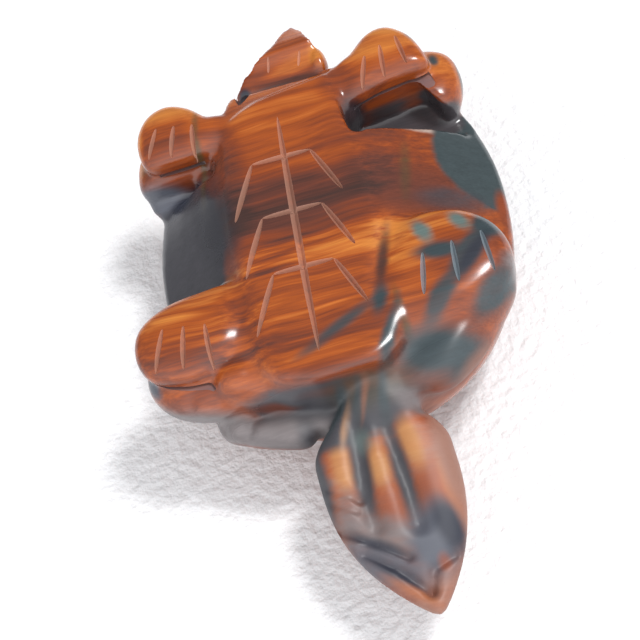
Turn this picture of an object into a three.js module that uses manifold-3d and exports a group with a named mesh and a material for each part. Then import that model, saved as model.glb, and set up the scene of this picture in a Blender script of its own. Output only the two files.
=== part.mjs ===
// Turtle carved from one piece of tiger's eye, lying on its domed shell with the belly up.
// Millimetres, +Z up, head towards -Y. Shapes are laid out from the middle of the shell rim,
// and the finished carving is moved so that its origin is at the middle of its underside.
import * as THREE from 'three';
import { mergeVertices } from 'three/addons/utils/BufferGeometryUtils.js';
import Module from 'manifold-3d';

const wasm = await Module();
wasm.setup();

// shell
const shellHalfWidth = 17.6;
const shellHalfLength = 21.7;
const shellSquareness = 2.25;
const shellMiddleX = -0.2;
const rimHeight = 11;
const rimThickness = 1.3;
const restHalfWidth = 6;

// lines between the scutes of the dome: two arcs along it and four lines across
const scuteLineWidth = 0.8;
const scuteLineDepth = 0.5;
const scuteArcRadius = 60;
const scuteArcX = 7;
const scuteLinesY = [-13.5, -4.5, 4.5, 13.5];
const scuteLineTop = 6;

// belly plate, with its seam and cross lines off the middle of the shell
const bellyHeight = 17.5;
const bellyThickness = 7.8;
const bellyRoundness = 1.3;
const bellyBackY = 14.9;
const bellyFrontY = -18.2;
const seamX = -2.9;
const seamStartY = 12.4;
const seamEndY = -15.6;
const rungHalfWidth = 2.9;
const rungCount = 3;
const rungSpacing = 6.7;
const firstRungY = 7.3;
const seamWidth = 0.9;
const seamDepth = 0.6;

// head, from the neck inside the shell to the tip
const headTipY = -40.4;
const headTipX = 1.8;
const headMiddleX = 0.1;
const neckY = -15;
const headHalfWidth = 6.25;
const headSquareness = 2.4;
const headLevel = 10.3;
const headTipLevel = 7.9;
const headRise = 2.4;
const headDrop = 4.8;
const headTaperLength = 14;
const neckRidgeRise = 0.9;
const neckNarrowing = 0.75;
const eyeY = -31;
const eyeRadius = 1.05;
const eyeLineRadius = 0.28;

// tail: levels of its root, groove, ridge and tip
const tailTipY = 25.2;
const tailTipX = 0.7;
const tailTipHeight = 14.2;
const tailRootY = 12;
const tailRootHeight = 15.4;
const tailGrooveY = 17;
const tailGrooveHeight = 14.6;
const tailRidgeY = 21.9;
const tailRidgeHeight = 15.5;

// cuts left by a thin wheel
const cutWidth = 0.8;
const cutDepth = 0.5;
const toeCutWidth = 0.85;
const toeCutDepth = 0.55;
const throatWidth = 1.5;
const throatDepth = 0.8;
const sawWidth = 0.8;
const sawLevel = 14.75;

// Bridges from the plate down to the rim, between a hind and a front foot: x and z down the slope.
const bridgeSlopes = {
  right: { slope: [[3.8, 17.3], [7.5, 16.1], [11.5, 14.1], [15.4, 11.6], [16, 9]], fromY: -9, toY: 9.2 },
  left: { slope: [[-8.9, 16.9], [-10.8, 14.9], [-13, 13], [-15.9, 11.5], [-16, 9]], fromY: -13, toY: 9.6 },
};

// Soles and backs of the four feet: middle, half size and turn of each rounded lump.
const feet = {
  hindLeft: {
    sole: { centre: [-12.8, 14.2, 15.9], half: [4.6, 3.5, 1.4], plan: 2.1, front: 4, turn: 6 },
    back: { centre: [-13.1, 13.2, 12.6], half: [5.1, 2.8, 2.3], plan: 2.2, front: 4, turn: 6 },
    leg: { centre: [-9, 12, 13.8], half: [3.4, 2.5, 3.1], plan: 3, side: 4 },
    toes: { middle: [-13.4, 12.9], spacing: [2.1, -0.5], length: 3.9, lean: 14, splay: 8 },
    saw: { middle: [-13.2, 11], halfWidth: 4, turn: 6 },
  },
  hindRight: {
    sole: { centre: [9, 17, 15.9], half: [4.8, 3.2, 1.4], plan: 2.1, front: 4, turn: 15 },
    back: { centre: [10.4, 16.5, 12.6], half: [5.9, 2.7, 2.3], plan: 2.2, front: 4, turn: 13 },
    leg: { centre: [5.2, 15, 13.8], half: [3.2, 2.2, 3.1], plan: 3, side: 4, turn: 20 },
    toes: { middle: [9.2, 15.9], spacing: [2.1, 0.8], length: 4.2, lean: 4, splay: 11 },
    saw: { middle: [9.2, 14], halfWidth: 4.6, turn: 14 },
  },
  frontLeft: {
    sole: { centre: [-14.6, -10.2, 15.95], half: [6.1, 4.3, 1.55], plan: 2.5, front: 3 },
    back: { centre: [-14.9, -12.7, 12.5], half: [5.4, 4.9, 2.4], plan: 2.3, side: 2.2 },
    leg: { centre: [-9, -10.8, 13.9], half: [4, 4.8, 3.3] },
    toes: { middle: [-15.7, -11.4], spacing: [2.4, -0.4], length: 4.5, lean: 9, splay: 9 },
    saw: { middle: [-15.2, -13.7], halfWidth: 3.4, turn: 2 },
  },
  frontRight: {
    sole: { centre: [10.3, -8.8, 14.2], half: [5.5, 6, 3.3], plan: 2.9, side: 3 },
    back: { centre: [9.9, -10.2, 12.1], half: [5.4, 7.1, 5.35], plan: 2.5, side: 2.3 },
    leg: { centre: [4.6, -11.6, 13.4], half: [3.6, 5.6, 3.7], plan: 3 },
    toes: { middle: [11.2, -9.8], spacing: [3.2, 0.5], length: 4.6, lean: 3, splay: 7 },
  },
};

const { PI, abs, cos, hypot, max, min, pow, sign, sin } = Math;
const { degToRad, lerp, smoothstep } = THREE.MathUtils;

// A closed three.js geometry becomes a solid that can be joined and cut.
function solid(geometry) {
  const bare = geometry.clone();
  bare.deleteAttribute('normal');
  bare.deleteAttribute('uv');
  const merged = mergeVertices(bare, 1e-4);
  return new wasm.Manifold(new wasm.Mesh({
    numProp: 3,
    vertProperties: new Float32Array(merged.attributes.position.array),
    triVerts: new Uint32Array(merged.index.array),
  }));
}

const join = (solids) => solids.reduce((all, one) => all.add(one));

// Moves every vertex of a geometry by a function of its place.
function reshape(geometry, move) {
  const places = geometry.attributes.position;
  const place = new THREE.Vector3();
  for (let index = 0; index < places.count; index += 1) {
    move(place.fromBufferAttribute(places, index));
    places.setXYZ(index, place.x, place.y, place.z);
  }
  return geometry;
}

const squared = (value, squareness) => sign(value) * pow(abs(value), 2 / squareness);

// A rounded lump: a ball pulled towards a box, squarer in plan, along its front or from the side
// as those numbers rise.
function lump({ centre, half, plan = 2.4, front = plan, side = 2.8, turn = 0, around = 20, up = 10 }) {
  const ball = new THREE.SphereGeometry(1, around, up);
  ball.rotateX(PI / 2);
  reshape(ball, (p) => {
    const angle = Math.atan2(p.y, p.x);
    const reach = squared(min(1, hypot(p.x, p.y)), side);
    const outline = p.y < 0 ? front : plan;
    p.set(
      half[0] * reach * squared(cos(angle), outline),
      half[1] * reach * squared(sin(angle), outline),
      half[2] * squared(p.z, side),
    );
  });
  ball.rotateZ(degToRad(turn));
  ball.translate(...centre);
  return solid(ball);
}

// A narrow V cut, shaped like a boat, between two points on the surface.
function cut(from, to, width = cutWidth, depth = cutDepth, steps = 4) {
  const start = new THREE.Vector3(...from);
  const end = new THREE.Vector3(...to);
  const length = start.distanceTo(end);
  const boat = new THREE.CylinderGeometry(1, 1, length, 4, steps);
  reshape(boat, (p) => {
    const along = (2 * p.y) / length;
    const swell = max(0.15, pow(1 - min(1, along * along), 0.4));
    p.x *= swell * width / 2;
    p.z *= swell * depth;
  });
  const forward = end.clone().sub(start).normalize();
  const across = forward.clone().cross(new THREE.Vector3(0, 0, 1)).normalize();
  const place = new THREE.Matrix4().makeBasis(across, forward, across.clone().cross(forward));
  place.setPosition(start.add(end).multiplyScalar(0.5));
  return solid(boat.applyMatrix4(place));
}

// The rim outline as a reach from the middle of the shell in a given direction.
function rimReach(angle) {
  const across = pow(abs(cos(angle)) / shellHalfWidth, shellSquareness);
  const along = pow(abs(sin(angle)) / shellHalfLength, shellSquareness);
  return pow(across + along, -1 / shellSquareness);
}

// The dome with its flat rim. With an inset it is the same form, that much thinner all over.
function shellForm(inset = 0) {
  const domeSteps = 8;
  const rimChamfer = 0.45;
  const restShare = restHalfWidth / shellHalfWidth;
  const domeRise = rimHeight - rimThickness;
  const profile = [new THREE.Vector2(0, 0)];
  for (let step = 0; step <= domeSteps; step += 1) {
    const angle = (step / domeSteps) * PI / 2;
    profile.push(new THREE.Vector2(restShare + (1 - restShare) * sin(angle), domeRise * (1 - cos(angle))));
  }
  profile.push(new THREE.Vector2(1, rimHeight - rimChamfer));
  profile.push(new THREE.Vector2(1 - rimChamfer / shellHalfWidth, rimHeight));
  profile.push(new THREE.Vector2(0, rimHeight));
  const dome = new THREE.LatheGeometry(profile, 44);
  dome.rotateX(PI / 2);
  reshape(dome, (p) => {
    const angle = Math.atan2(p.y, p.x);
    const reach = hypot(p.x, p.y) * (rimReach(angle) - inset);
    p.set(shellMiddleX + reach * cos(angle), reach * sin(angle), max(inset, p.z));
  });
  return solid(dome);
}

// Thin upright plates that stand where the lines between the scutes run.
function scutePlates() {
  const tall = 3 * rimHeight;
  const wall = (side, radius, height) => {
    const disc = new THREE.CylinderGeometry(radius, radius, height, 64, 1).rotateX(PI / 2);
    return solid(disc.translate(side * (scuteArcX + scuteArcRadius), 0, 0));
  };
  const arcs = [-1, 1].map((side) => (
    wall(side, scuteArcRadius, tall).subtract(wall(side, scuteArcRadius - scuteLineWidth, 2 * tall))
  ));
  const crossLines = scuteLinesY.map((y) => (
    solid(new THREE.BoxGeometry(3 * shellHalfWidth, scuteLineWidth, tall).translate(0, y, 0))
  ));
  return join([...arcs, ...crossLines]);
}

function shell() {
  const wide = 4 * shellHalfLength;
  const belowRim = new THREE.BoxGeometry(wide, wide, 2 * rimHeight).translate(0, 0, scuteLineTop - rimHeight);
  const lines = scutePlates().intersect(solid(belowRim)).subtract(shellForm(scuteLineDepth));
  return shellForm().subtract(lines);
}

// The belly plate: a flat top with a rounded edge, and a crisp edge towards the tail.
function bellyPlate() {
  const outline = new THREE.Shape();
  outline.moveTo(-8.9, bellyFrontY + bellyRoundness);
  outline.lineTo(4.2, bellyFrontY + 0.6 + bellyRoundness);
  outline.lineTo(4.2, -4);
  outline.lineTo(3.9, 5);
  outline.quadraticCurveTo(2.2, 9.4, 2.2, bellyBackY - bellyRoundness);
  outline.lineTo(-4.4, bellyBackY - 0.5 - bellyRoundness);
  outline.lineTo(-7.4, 12);
  outline.lineTo(-8.1, 1);
  const plate = new THREE.ExtrudeGeometry(outline, {
    depth: bellyThickness - 2 * bellyRoundness,
    bevelEnabled: true,
    bevelThickness: bellyRoundness,
    bevelSize: bellyRoundness,
    bevelSegments: 3,
    curveSegments: 8,
  });
  return solid(plate.translate(0, 0, bellyHeight - bellyThickness + bellyRoundness));
}

function bridge({ slope, fromY, toY }) {
  const edge = 0.5;
  const rootX = -2;
  const points = [[rootX, slope.at(-1)[1]], [rootX, slope[0][1]], ...slope];
  const profile = new THREE.Shape(points.map(([x, z]) => new THREE.Vector2(x, z)));
  const slab = new THREE.ExtrudeGeometry(profile, {
    depth: toY - fromY - 2 * edge,
    bevelEnabled: true,
    bevelThickness: edge,
    bevelSize: edge,
    bevelOffset: -edge,
    bevelSegments: 1,
  });
  return solid(slab.rotateX(PI / 2).translate(0, toY - edge, 0));
}

// Half width, sideways shift, level of the widest line, and rise and drop from it, along the head.
function headSection(y) {
  const fromTip = y - headTipY;
  const bluntness = 0.15;
  const taper = 1 - pow(max(0, 1 - fromTip / headTaperLength), 2.2);
  const neck = smoothstep(fromTip, 17, 23.5);
  return {
    halfWidth: headHalfWidth * taper * (1 - neckNarrowing * neck) + bluntness,
    shift: lerp(headMiddleX, headTipX, pow(max(0, 1 - fromTip / headTaperLength), 2)),
    level: lerp(headTipLevel, headLevel, smoothstep(fromTip, 0, 20)),
    rise: lerp(0.7, headRise, smoothstep(fromTip, 0, 12)) + neckRidgeRise * neck,
    drop: lerp(1, headDrop, smoothstep(fromTip, 0, 13)),
  };
}

const headTop = (x, y) => {
  const { halfWidth, shift, level, rise } = headSection(y);
  const share = abs((x - shift) / halfWidth);
  return level + rise * pow(max(0, 1 - pow(share, headSquareness)), 1 / headSquareness);
};

function head() {
  const length = neckY - headTipY;
  const loft = new THREE.CylinderGeometry(1, 1, length, 24, 16);
  reshape(loft, (p) => {
    const share = p.y / length + 0.5;
    const y = headTipY + length * pow(share, 1.25);
    const { halfWidth, shift, level, rise, drop } = headSection(y);
    const angle = Math.atan2(p.z, p.x);
    const reach = hypot(p.x, p.z);
    p.set(
      shift + halfWidth * reach * squared(cos(angle), headSquareness),
      y,
      level + (p.z > 0 ? rise : drop) * reach * squared(sin(angle), headSquareness),
    );
  });
  return solid(loft);
}

// The two throat grooves, the lines of the jaw and one short cut on the side.
function headCuts() {
  const onHead = (x, y) => [x, y, headTop(x, y)];
  const along = (points, width, depth) => points.slice(1).map((point, index) => (
    cut(onHead(...points[index]), onHead(...point), width, depth)
  ));
  return join([
    ...along([[-2.2, -20.2], [-2.6, -26.4], [-2.1, -32]], throatWidth, throatDepth),
    ...along([[1.3, -21.6], [1.5, -27.4], [1.9, -33]], throatWidth, throatDepth),
    ...along([[-5, -30.2], [-2.5, -31.9], [0.2, -34.6]], 1, 0.55),
    ...along([[-3.4, -33.3], [1.5, -38.2], [2.9, -35.6]], 0.9, 0.5),
    ...along([[-6, -25.4], [-3.2, -27.9]], 1, 0.6),
  ]);
}

function eyes() {
  const ring = (side) => {
    const { halfWidth, shift, level } = headSection(eyeY);
    const inset = 0.55;
    const drop = 2.6;
    const socket = new THREE.TorusGeometry(eyeRadius, eyeLineRadius, 6, 16);
    socket.rotateY(PI / 2).rotateY(side * degToRad(35));
    return solid(socket.translate(shift + side * (halfWidth - inset), eyeY, level - drop));
  };
  return join([ring(-1), ring(1)]);
}

// The tail is sawn twice, from above and from the side, which leaves its facets.
function tail() {
  const plan = new THREE.Shape();
  plan.moveTo(-8.8, tailRootY + 1);
  plan.lineTo(4.2, tailRootY + 1);
  plan.lineTo(3.7, 18.4);
  plan.lineTo(3.2, 20.4);
  plan.lineTo(tailTipX, tailTipY);
  plan.lineTo(tailTipX - 0.6, tailTipY - 0.1);
  plan.lineTo(-1.9, 22.7);
  plan.lineTo(-3.2, 21.6);
  plan.lineTo(-5.6, 19.8);
  const fromAbove = new THREE.ExtrudeGeometry(plan, { depth: rimHeight, bevelEnabled: false });
  fromAbove.translate(0, 0, rimHeight - 2);

  const profile = new THREE.Shape();
  profile.moveTo(tailRootY, rimHeight - 1);
  profile.lineTo(tailRidgeY - 0.4, rimHeight - 0.4);
  profile.lineTo(tailTipY, tailTipHeight - 1.2);
  profile.lineTo(tailTipY, tailTipHeight);
  profile.lineTo(tailRidgeY, tailRidgeHeight);
  profile.lineTo(tailGrooveY + 1.6, tailRidgeHeight - 0.3);
  profile.lineTo(tailGrooveY, tailGrooveHeight);
  profile.lineTo(tailGrooveY - 1.2, tailRootHeight);
  profile.lineTo(tailRootY, tailRootHeight);
  const wide = 20;
  const fromSide = new THREE.ExtrudeGeometry(profile, { depth: wide, bevelEnabled: false });
  const alongX = new THREE.Matrix4().makeBasis(
    new THREE.Vector3(0, 1, 0), new THREE.Vector3(0, 0, 1), new THREE.Vector3(1, 0, 0),
  );
  fromSide.applyMatrix4(alongX).translate(-wide / 2 - 2, 0, 0);
  return solid(fromAbove).intersect(solid(fromSide));
}

// The cross groove with a deeper pit at its left end, and two short nicks behind the ridge.
function tailCuts() {
  return join([
    cut([-6.4, 17.1, 15.2], [3.4, 16.6, 15.3], 0.9, 0.9),
    lump({ centre: [-5.6, 17.2, 15.2], half: [0.6, 1.6, 2], around: 10, up: 6 }),
    cut([-2.6, 20.6, 16], [-2.3, 21.9, 15.8], 0.5, 0.3, 2),
    cut([0.6, 20.5, 16], [1.1, 21.8, 15.8], 0.5, 0.3, 2),
  ]);
}

// The seam down the plate, the cross lines, each with its two slanting ends, and the crease
// between the plate and the right front foot.
function bellyLines() {
  const seamStart = [seamX + 0.4, seamStartY, bellyHeight];
  const lines = [cut(seamStart, [seamX - 0.1, seamEndY, bellyHeight], seamWidth, seamDepth, 6)];
  for (let rung = 0; rung < rungCount; rung += 1) {
    const y = firstRungY - rung * rungSpacing;
    const left = [seamX - rungHalfWidth, y, bellyHeight];
    const right = [seamX + rungHalfWidth, y, bellyHeight];
    lines.push(cut(left, right));
    lines.push(cut(left, [left[0] - 2.7, y - 6.3, bellyHeight]));
    lines.push(cut(right, [right[0] + 2.3, y - 5.7, bellyHeight]));
  }
  lines.push(cut([5.2, -4.2, bellyHeight - 0.3], [3.9, -12.6, bellyHeight], 1, 0.8));
  return join(lines);
}

function foot({ sole, back, leg }) {
  return join([lump(sole), lump(back), lump(leg)]);
}

// Three cuts that part the toes, leaning and fanning out across the sole.
function toeCuts({ middle, spacing, length, lean, splay }, height) {
  return join([-1, 0, 1].map((toe) => {
    const angle = degToRad(lean - toe * splay);
    const x = middle[0] + toe * spacing[0];
    const y = middle[1] + toe * spacing[1];
    const reach = [sin(angle) * length / 2, cos(angle) * length / 2];
    const back = [x + reach[0], y + reach[1], height];
    return cut(back, [x - reach[0], y - reach[1], height], toeCutWidth, toeCutDepth);
  }));
}

// A level saw cut into the side of a foot, between its sole and its back.
function sawCut({ middle, halfWidth, turn }) {
  const radius = 1.5 * halfWidth;
  const reach = 0.4 * halfWidth;
  const run = 2;
  const blade = new THREE.CylinderGeometry(radius, radius, sawWidth, 24).rotateX(PI / 2);
  const path = new THREE.BoxGeometry(2 * halfWidth + 1, 2 * run, 2 * sawWidth);
  return solid(blade.translate(0, reach - radius, 0))
    .intersect(solid(path))
    .rotate([0, 0, turn])
    .translate([middle[0], middle[1], sawLevel]);
}

function carving() {
  const bridges = Object.values(bridgeSlopes).map(bridge);
  const body = join([shell(), bellyPlate(), ...bridges, head(), tail(), ...Object.values(feet).map(foot)]);
  const soleCuts = Object.values(feet).map(({ toes, sole }) => toeCuts(toes, sole.centre[2] + sole.half[2]));
  const sawCuts = Object.values(feet).filter(({ saw }) => saw).map(({ saw }) => sawCut(saw));
  return body.subtract(join([bellyLines(), headCuts(), eyes(), tailCuts(), ...soleCuts, ...sawCuts]));
}

// Turns a solid into a mesh whose origin is at the middle of its underside.
function stoneMesh(name, form) {
  const { vertProperties, triVerts } = form.getMesh();
  const geometry = new THREE.BufferGeometry();
  geometry.setAttribute('position', new THREE.BufferAttribute(vertProperties, 3));
  geometry.setIndex(new THREE.BufferAttribute(triVerts, 1));
  geometry.computeBoundingBox();
  const box = geometry.boundingBox;
  const middle = box.getCenter(new THREE.Vector3());
  geometry.translate(-middle.x, -middle.y, -box.min.z);
  geometry.computeVertexNormals();
  const tigersEye = new THREE.MeshStandardMaterial({ color: 0x9a4f22, roughness: 0.14, metalness: 0 });
  const mesh = new THREE.Mesh(geometry, tigersEye);
  mesh.name = name;
  return mesh;
}

const turtle = new THREE.Group();
turtle.add(stoneMesh('turtle_carving', carving()));

export default turtle;
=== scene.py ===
# Turtle carved from one piece of tiger's eye, lying on its domed shell with the belly up.
# Everything is laid out in millimetres from the middle of the shell rim: x to the right, y to
# the tail, z up. The finished stone is brought to metres and set on the frame at the end.
import math

import bpy
import numpy as np
from mathutils import Matrix, Vector
from mathutils.bvhtree import BVHTree


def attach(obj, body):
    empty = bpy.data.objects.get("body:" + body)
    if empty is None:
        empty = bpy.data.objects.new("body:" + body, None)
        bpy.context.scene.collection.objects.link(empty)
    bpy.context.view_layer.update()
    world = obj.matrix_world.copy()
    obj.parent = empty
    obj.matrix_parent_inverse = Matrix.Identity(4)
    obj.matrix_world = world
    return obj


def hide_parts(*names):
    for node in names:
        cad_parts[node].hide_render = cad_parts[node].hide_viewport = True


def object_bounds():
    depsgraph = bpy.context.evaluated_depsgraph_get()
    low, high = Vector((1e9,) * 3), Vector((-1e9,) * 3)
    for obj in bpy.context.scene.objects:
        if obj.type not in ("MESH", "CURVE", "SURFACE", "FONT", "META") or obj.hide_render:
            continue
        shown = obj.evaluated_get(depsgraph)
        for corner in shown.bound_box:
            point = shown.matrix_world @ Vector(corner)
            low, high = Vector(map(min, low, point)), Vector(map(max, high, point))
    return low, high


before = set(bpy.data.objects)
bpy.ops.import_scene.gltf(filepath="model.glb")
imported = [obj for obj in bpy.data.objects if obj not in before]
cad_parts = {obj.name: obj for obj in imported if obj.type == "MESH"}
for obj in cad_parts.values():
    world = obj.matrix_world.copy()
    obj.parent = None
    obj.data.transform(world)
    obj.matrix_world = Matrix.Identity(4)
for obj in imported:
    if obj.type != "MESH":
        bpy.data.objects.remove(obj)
cadLow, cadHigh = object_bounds()
print("frame loaded")

metre = 0.001
rimMiddle = Vector((cadLow.x + 20.7 * metre, cadLow.y + 40.4 * metre, cadLow.z))


# small tools

def addShape(name, add, **values):
    bpy.ops.object.select_all(action="DESELECT")
    add(**values)
    shape = bpy.context.object
    shape.name = name
    return shape


def addBall(name, segments=64, rings=40):
    return addShape(name, bpy.ops.mesh.primitive_uv_sphere_add, segments=segments, ring_count=rings, radius=1)


def readPoints(shape):
    points = np.empty(len(shape.data.vertices) * 3)
    shape.data.vertices.foreach_get("co", points)
    return points.reshape(-1, 3)


def writePoints(shape, points):
    shape.data.vertices.foreach_set("co", np.ascontiguousarray(points, dtype=float).ravel())
    shape.data.update()


def finishWith(shape, kind, **values):
    # adds a modifier and applies it at once
    bpy.context.view_layer.objects.active = shape
    modifier = shape.modifiers.new(kind.lower(), kind)
    for key, value in values.items():
        setattr(modifier, key, value)
    bpy.ops.object.modifier_apply(modifier=modifier.name)


def joinShapes(name, shapes):
    bpy.ops.object.select_all(action="DESELECT")
    for shape in shapes:
        shape.select_set(True)
    bpy.context.view_layer.objects.active = shapes[0]
    bpy.ops.object.join()
    joined = bpy.context.object
    joined.name = name
    return joined


def cutAway(stone, cutter, operation="DIFFERENCE"):
    finishWith(stone, "BOOLEAN", object=cutter, operation=operation, solver="MANIFOLD", material_mode="TRANSFER")
    bpy.data.objects.remove(cutter)


def squared(value, squareness):
    return np.sign(value) * np.abs(value) ** (2 / squareness)


def ease(value, low, high):
    share = np.clip((value - low) / (high - low), 0, 1)
    return share * share * (3 - 2 * share)


def within(points, centre, half, edge):
    # 1 inside a box, falling to 0 over the width of its edge
    share = 1
    for axis in range(3):
        share = share * (1 - ease(np.abs(points[:, axis] - centre[axis]), half[axis], half[axis] + edge))
    return share


def along(share, path):
    # points of a path at shares of its length
    path = np.array(path, dtype=float)
    steps = np.hypot(*np.diff(path[:, :2], axis=0).T)
    reached = np.concatenate([[0], np.cumsum(steps)]) / steps.sum()
    return np.stack([np.interp(share, reached, path[:, axis]) for axis in range(path.shape[1])], axis=1)


def roundOutline(corners, turn):
    # a closed smooth curve through the corners, read at turns from 0 to 1
    corners = np.array(corners, dtype=float)
    place = turn % 1 * len(corners)
    first = np.floor(place).astype(int)
    share = (place - first)[:, None]
    before, start, end, after = (corners[(first + step) % len(corners)] for step in (-1, 0, 1, 2))
    return start + 0.5 * share * (end - before + share * (
        2 * before - 5 * start + 4 * end - after + share * (3 * start - before - 3 * end + after)))


# shell

shell = {
    "halfWidth": 17.8, "halfLength": 21.1, "squareness": 2.2, "middle": (-0.1, 0.6), "turn": -3,
    "rimHeight": 11, "rimThickness": 1.3, "rimEdge": 0.45, "restHalfWidth": 6,
    "scuteLineWidth": 0.8, "scuteLineDepth": 0.45, "scuteLineTop": 6,
    "scuteLinesY": (-13.5, -4.5, 4.5, 13.5), "scuteArcRadius": 60, "scuteArcX": 7,
}


def rimPoints(angle, out=1):
    across = (np.abs(np.cos(angle)) / shell["halfWidth"]) ** shell["squareness"]
    lengthwise = (np.abs(np.sin(angle)) / shell["halfLength"]) ** shell["squareness"]
    reach = out * (across + lengthwise) ** (-1 / shell["squareness"])
    turned = angle + math.radians(shell["turn"])
    return shell["middle"][0] + reach * np.cos(turned), shell["middle"][1] + reach * np.sin(turned)


def rimAt(y, side):
    # x of the rim on the left (-1) or right (1) side
    x, reached = rimPoints(np.linspace(-1.45, 1.45, 200) + (0 if side > 0 else math.pi))
    order = np.argsort(reached)
    return np.interp(y, reached[order], x[order])


def buildShell():
    dome = addBall("dome", 160, 100)
    points = readPoints(dome)
    level = np.arcsin(np.clip(points[:, 2], -1, 1)) / math.pi + 0.5
    rest = shell["restHalfWidth"] / shell["halfWidth"]
    turn = np.linspace(0, math.pi / 2, 24)
    rise = shell["rimHeight"] - shell["rimThickness"]
    edge = shell["rimEdge"]
    share = np.concatenate([[0], np.linspace(0.08, 0.62, 24), np.linspace(0.66, 0.76, 24), [1]])
    reach = np.concatenate([[0], rest + (1 - rest) * np.sin(turn),
                            1 - edge / shell["halfWidth"] * (1 - np.cos(turn)), [0]])
    height = np.concatenate([[0], rise * (1 - np.cos(turn)), shell["rimHeight"] - edge * (1 - np.sin(turn)),
                             [shell["rimHeight"]]])
    x, y = rimPoints(np.arctan2(points[:, 1], points[:, 0]), np.interp(level, share, reach))
    writePoints(dome, np.stack([x, y, np.interp(level, share, height)], axis=1))
    return dome


def cutScuteLines(points, inward):
    # two arcs along the dome and four lines across it
    x, y, z = points.T
    arcX = shell["scuteArcX"] + shell["scuteArcRadius"] - np.sqrt(shell["scuteArcRadius"] ** 2 - y ** 2)
    away = np.min([np.abs(np.abs(x) - arcX)] + [np.abs(y - line) for line in shell["scuteLinesY"]], axis=0)
    hollow = 1 - ease(away, 0, shell["scuteLineWidth"] * 0.6)
    depth = shell["scuteLineDepth"] * hollow * (1 - ease(z, shell["scuteLineTop"] - 0.4, shell["scuteLineTop"] + 0.4))
    return points + inward * depth[:, None]


# belly plate and the two slopes from it to the rim

belly = {
    "height": 17.5, "thickness": 7.8, "edge": 0.7,
    "outline": ((-9.4, -13), (-8.9, -16), (-7.3, -17.6), (-4, -18.4), (2.3, -18), (4.4, -16.6), (5.5, -14),
                (5.5, -4), (5.2, 5), (4.6, 8), (4, 10.8), (3.6, 16.6), (-4.2, 15.4), (-8.6, 13.6), (-9.4, 1)),
    "slopeEnd": 15.4,
    "rightSlope": ((-2, 9), (-2, 17.3), (3.8, 17.35), (5.6, 16.95), (7.5, 16.2), (11.5, 14), (15.4, 10.9), (15.4, 9)),
    "rightEnds": (-9, 8.6),
    "leftSlope": ((-2, 9), (-2, 17), (-8.1, 17.3), (-9, 16.6), (-10.1, 15.6), (-11.3, 14.5), (-13.3, 12.8),
                  (-15.4, 11), (-15.4, 9)),
    "leftEnds": (-13, 9),
}


def extrudeOutline(name, outline, low, high, edge=0, steps=1):
    # a filled ring is moved to the outline, extruded and given a rounded edge
    slab = addShape(name, bpy.ops.mesh.primitive_circle_add, vertices=len(outline), fill_type="NGON")
    writePoints(slab, np.array([(x, y, low) for x, y in outline]))
    bpy.ops.object.mode_set(mode="EDIT")
    bpy.ops.mesh.select_all(action="SELECT")
    for step in range(steps):
        bpy.ops.mesh.extrude_region_move(TRANSFORM_OT_translate={"value": (0, 0, (high - low) / steps)})
    bpy.ops.mesh.select_all(action="SELECT")
    bpy.ops.mesh.normals_make_consistent(inside=False)
    bpy.ops.object.mode_set(mode="OBJECT")
    if edge:
        finishWith(slab, "BEVEL", width=edge, segments=4, limit_method="ANGLE", angle_limit=math.radians(40))
    return slab


def buildSlope(name, slope, ends, side):
    # its foot follows the rim
    slab = extrudeOutline(name, slope, *ends, steps=12)
    x, z, y = readPoints(slab).T
    start, foot = 4 * side, side * belly["slopeEnd"]
    spread = np.where(x * side > abs(start), (rimAt(y, side) - 0.35 * side - start) / (foot - start), 1)
    writePoints(slab, np.stack([start + (x - start) * spread, y, z], axis=1))
    slab.data.flip_normals()
    return slab


# head

head = {
    "tip": (1.9, -40.2), "middleX": 0.3, "neckY": -15, "halfWidth": 6.4, "squareness": 2.4,
    "level": 10.3, "tipLevel": 7.9, "rise": 2.5, "drop": 4.8, "taper": 14,
    "neckRidge": 0.9, "neckNarrowing": 0.72, "neckShift": 0.25,
    "throat": (((-1.7, -19.4), (-1.9, -22.8), (-2.3, -28.2), (-1.9, -32.4)),
               ((0.9, -20.8), (1.2, -24), (1.8, -28.8), (1.9, -33))),
    "throatWidth": 1.05, "throatDepth": 1.15,
    "eyeY": -31, "eyeRadius": 1.05, "eyeLine": 0.28, "eyeInset": 0.55, "eyeDrop": 2.6, "eyeTurn": 35,
}


def headSection(y):
    fromTip = y - head["tip"][1]
    taper = 1 - np.maximum(0, 1 - fromTip / head["taper"]) ** 2.2
    neck = ease(fromTip, 16.2, 23.5)
    pull = np.maximum(0, 1 - fromTip / head["taper"]) ** 2
    return {
        "halfWidth": head["halfWidth"] * taper * (1 - head["neckNarrowing"] * neck) + 0.15,
        "shift": head["middleX"] + (head["tip"][0] - head["middleX"]) * pull - head["neckShift"] * ease(fromTip, 11, 18),
        "level": head["tipLevel"] + (head["level"] - head["tipLevel"]) * ease(fromTip, 0, 20),
        "rise": 0.7 + (head["rise"] - 0.7) * ease(fromTip, 0, 12) + head["neckRidge"] * neck,
        "drop": 1 + (head["drop"] - 1) * ease(fromTip, 0, 13),
    }


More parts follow.
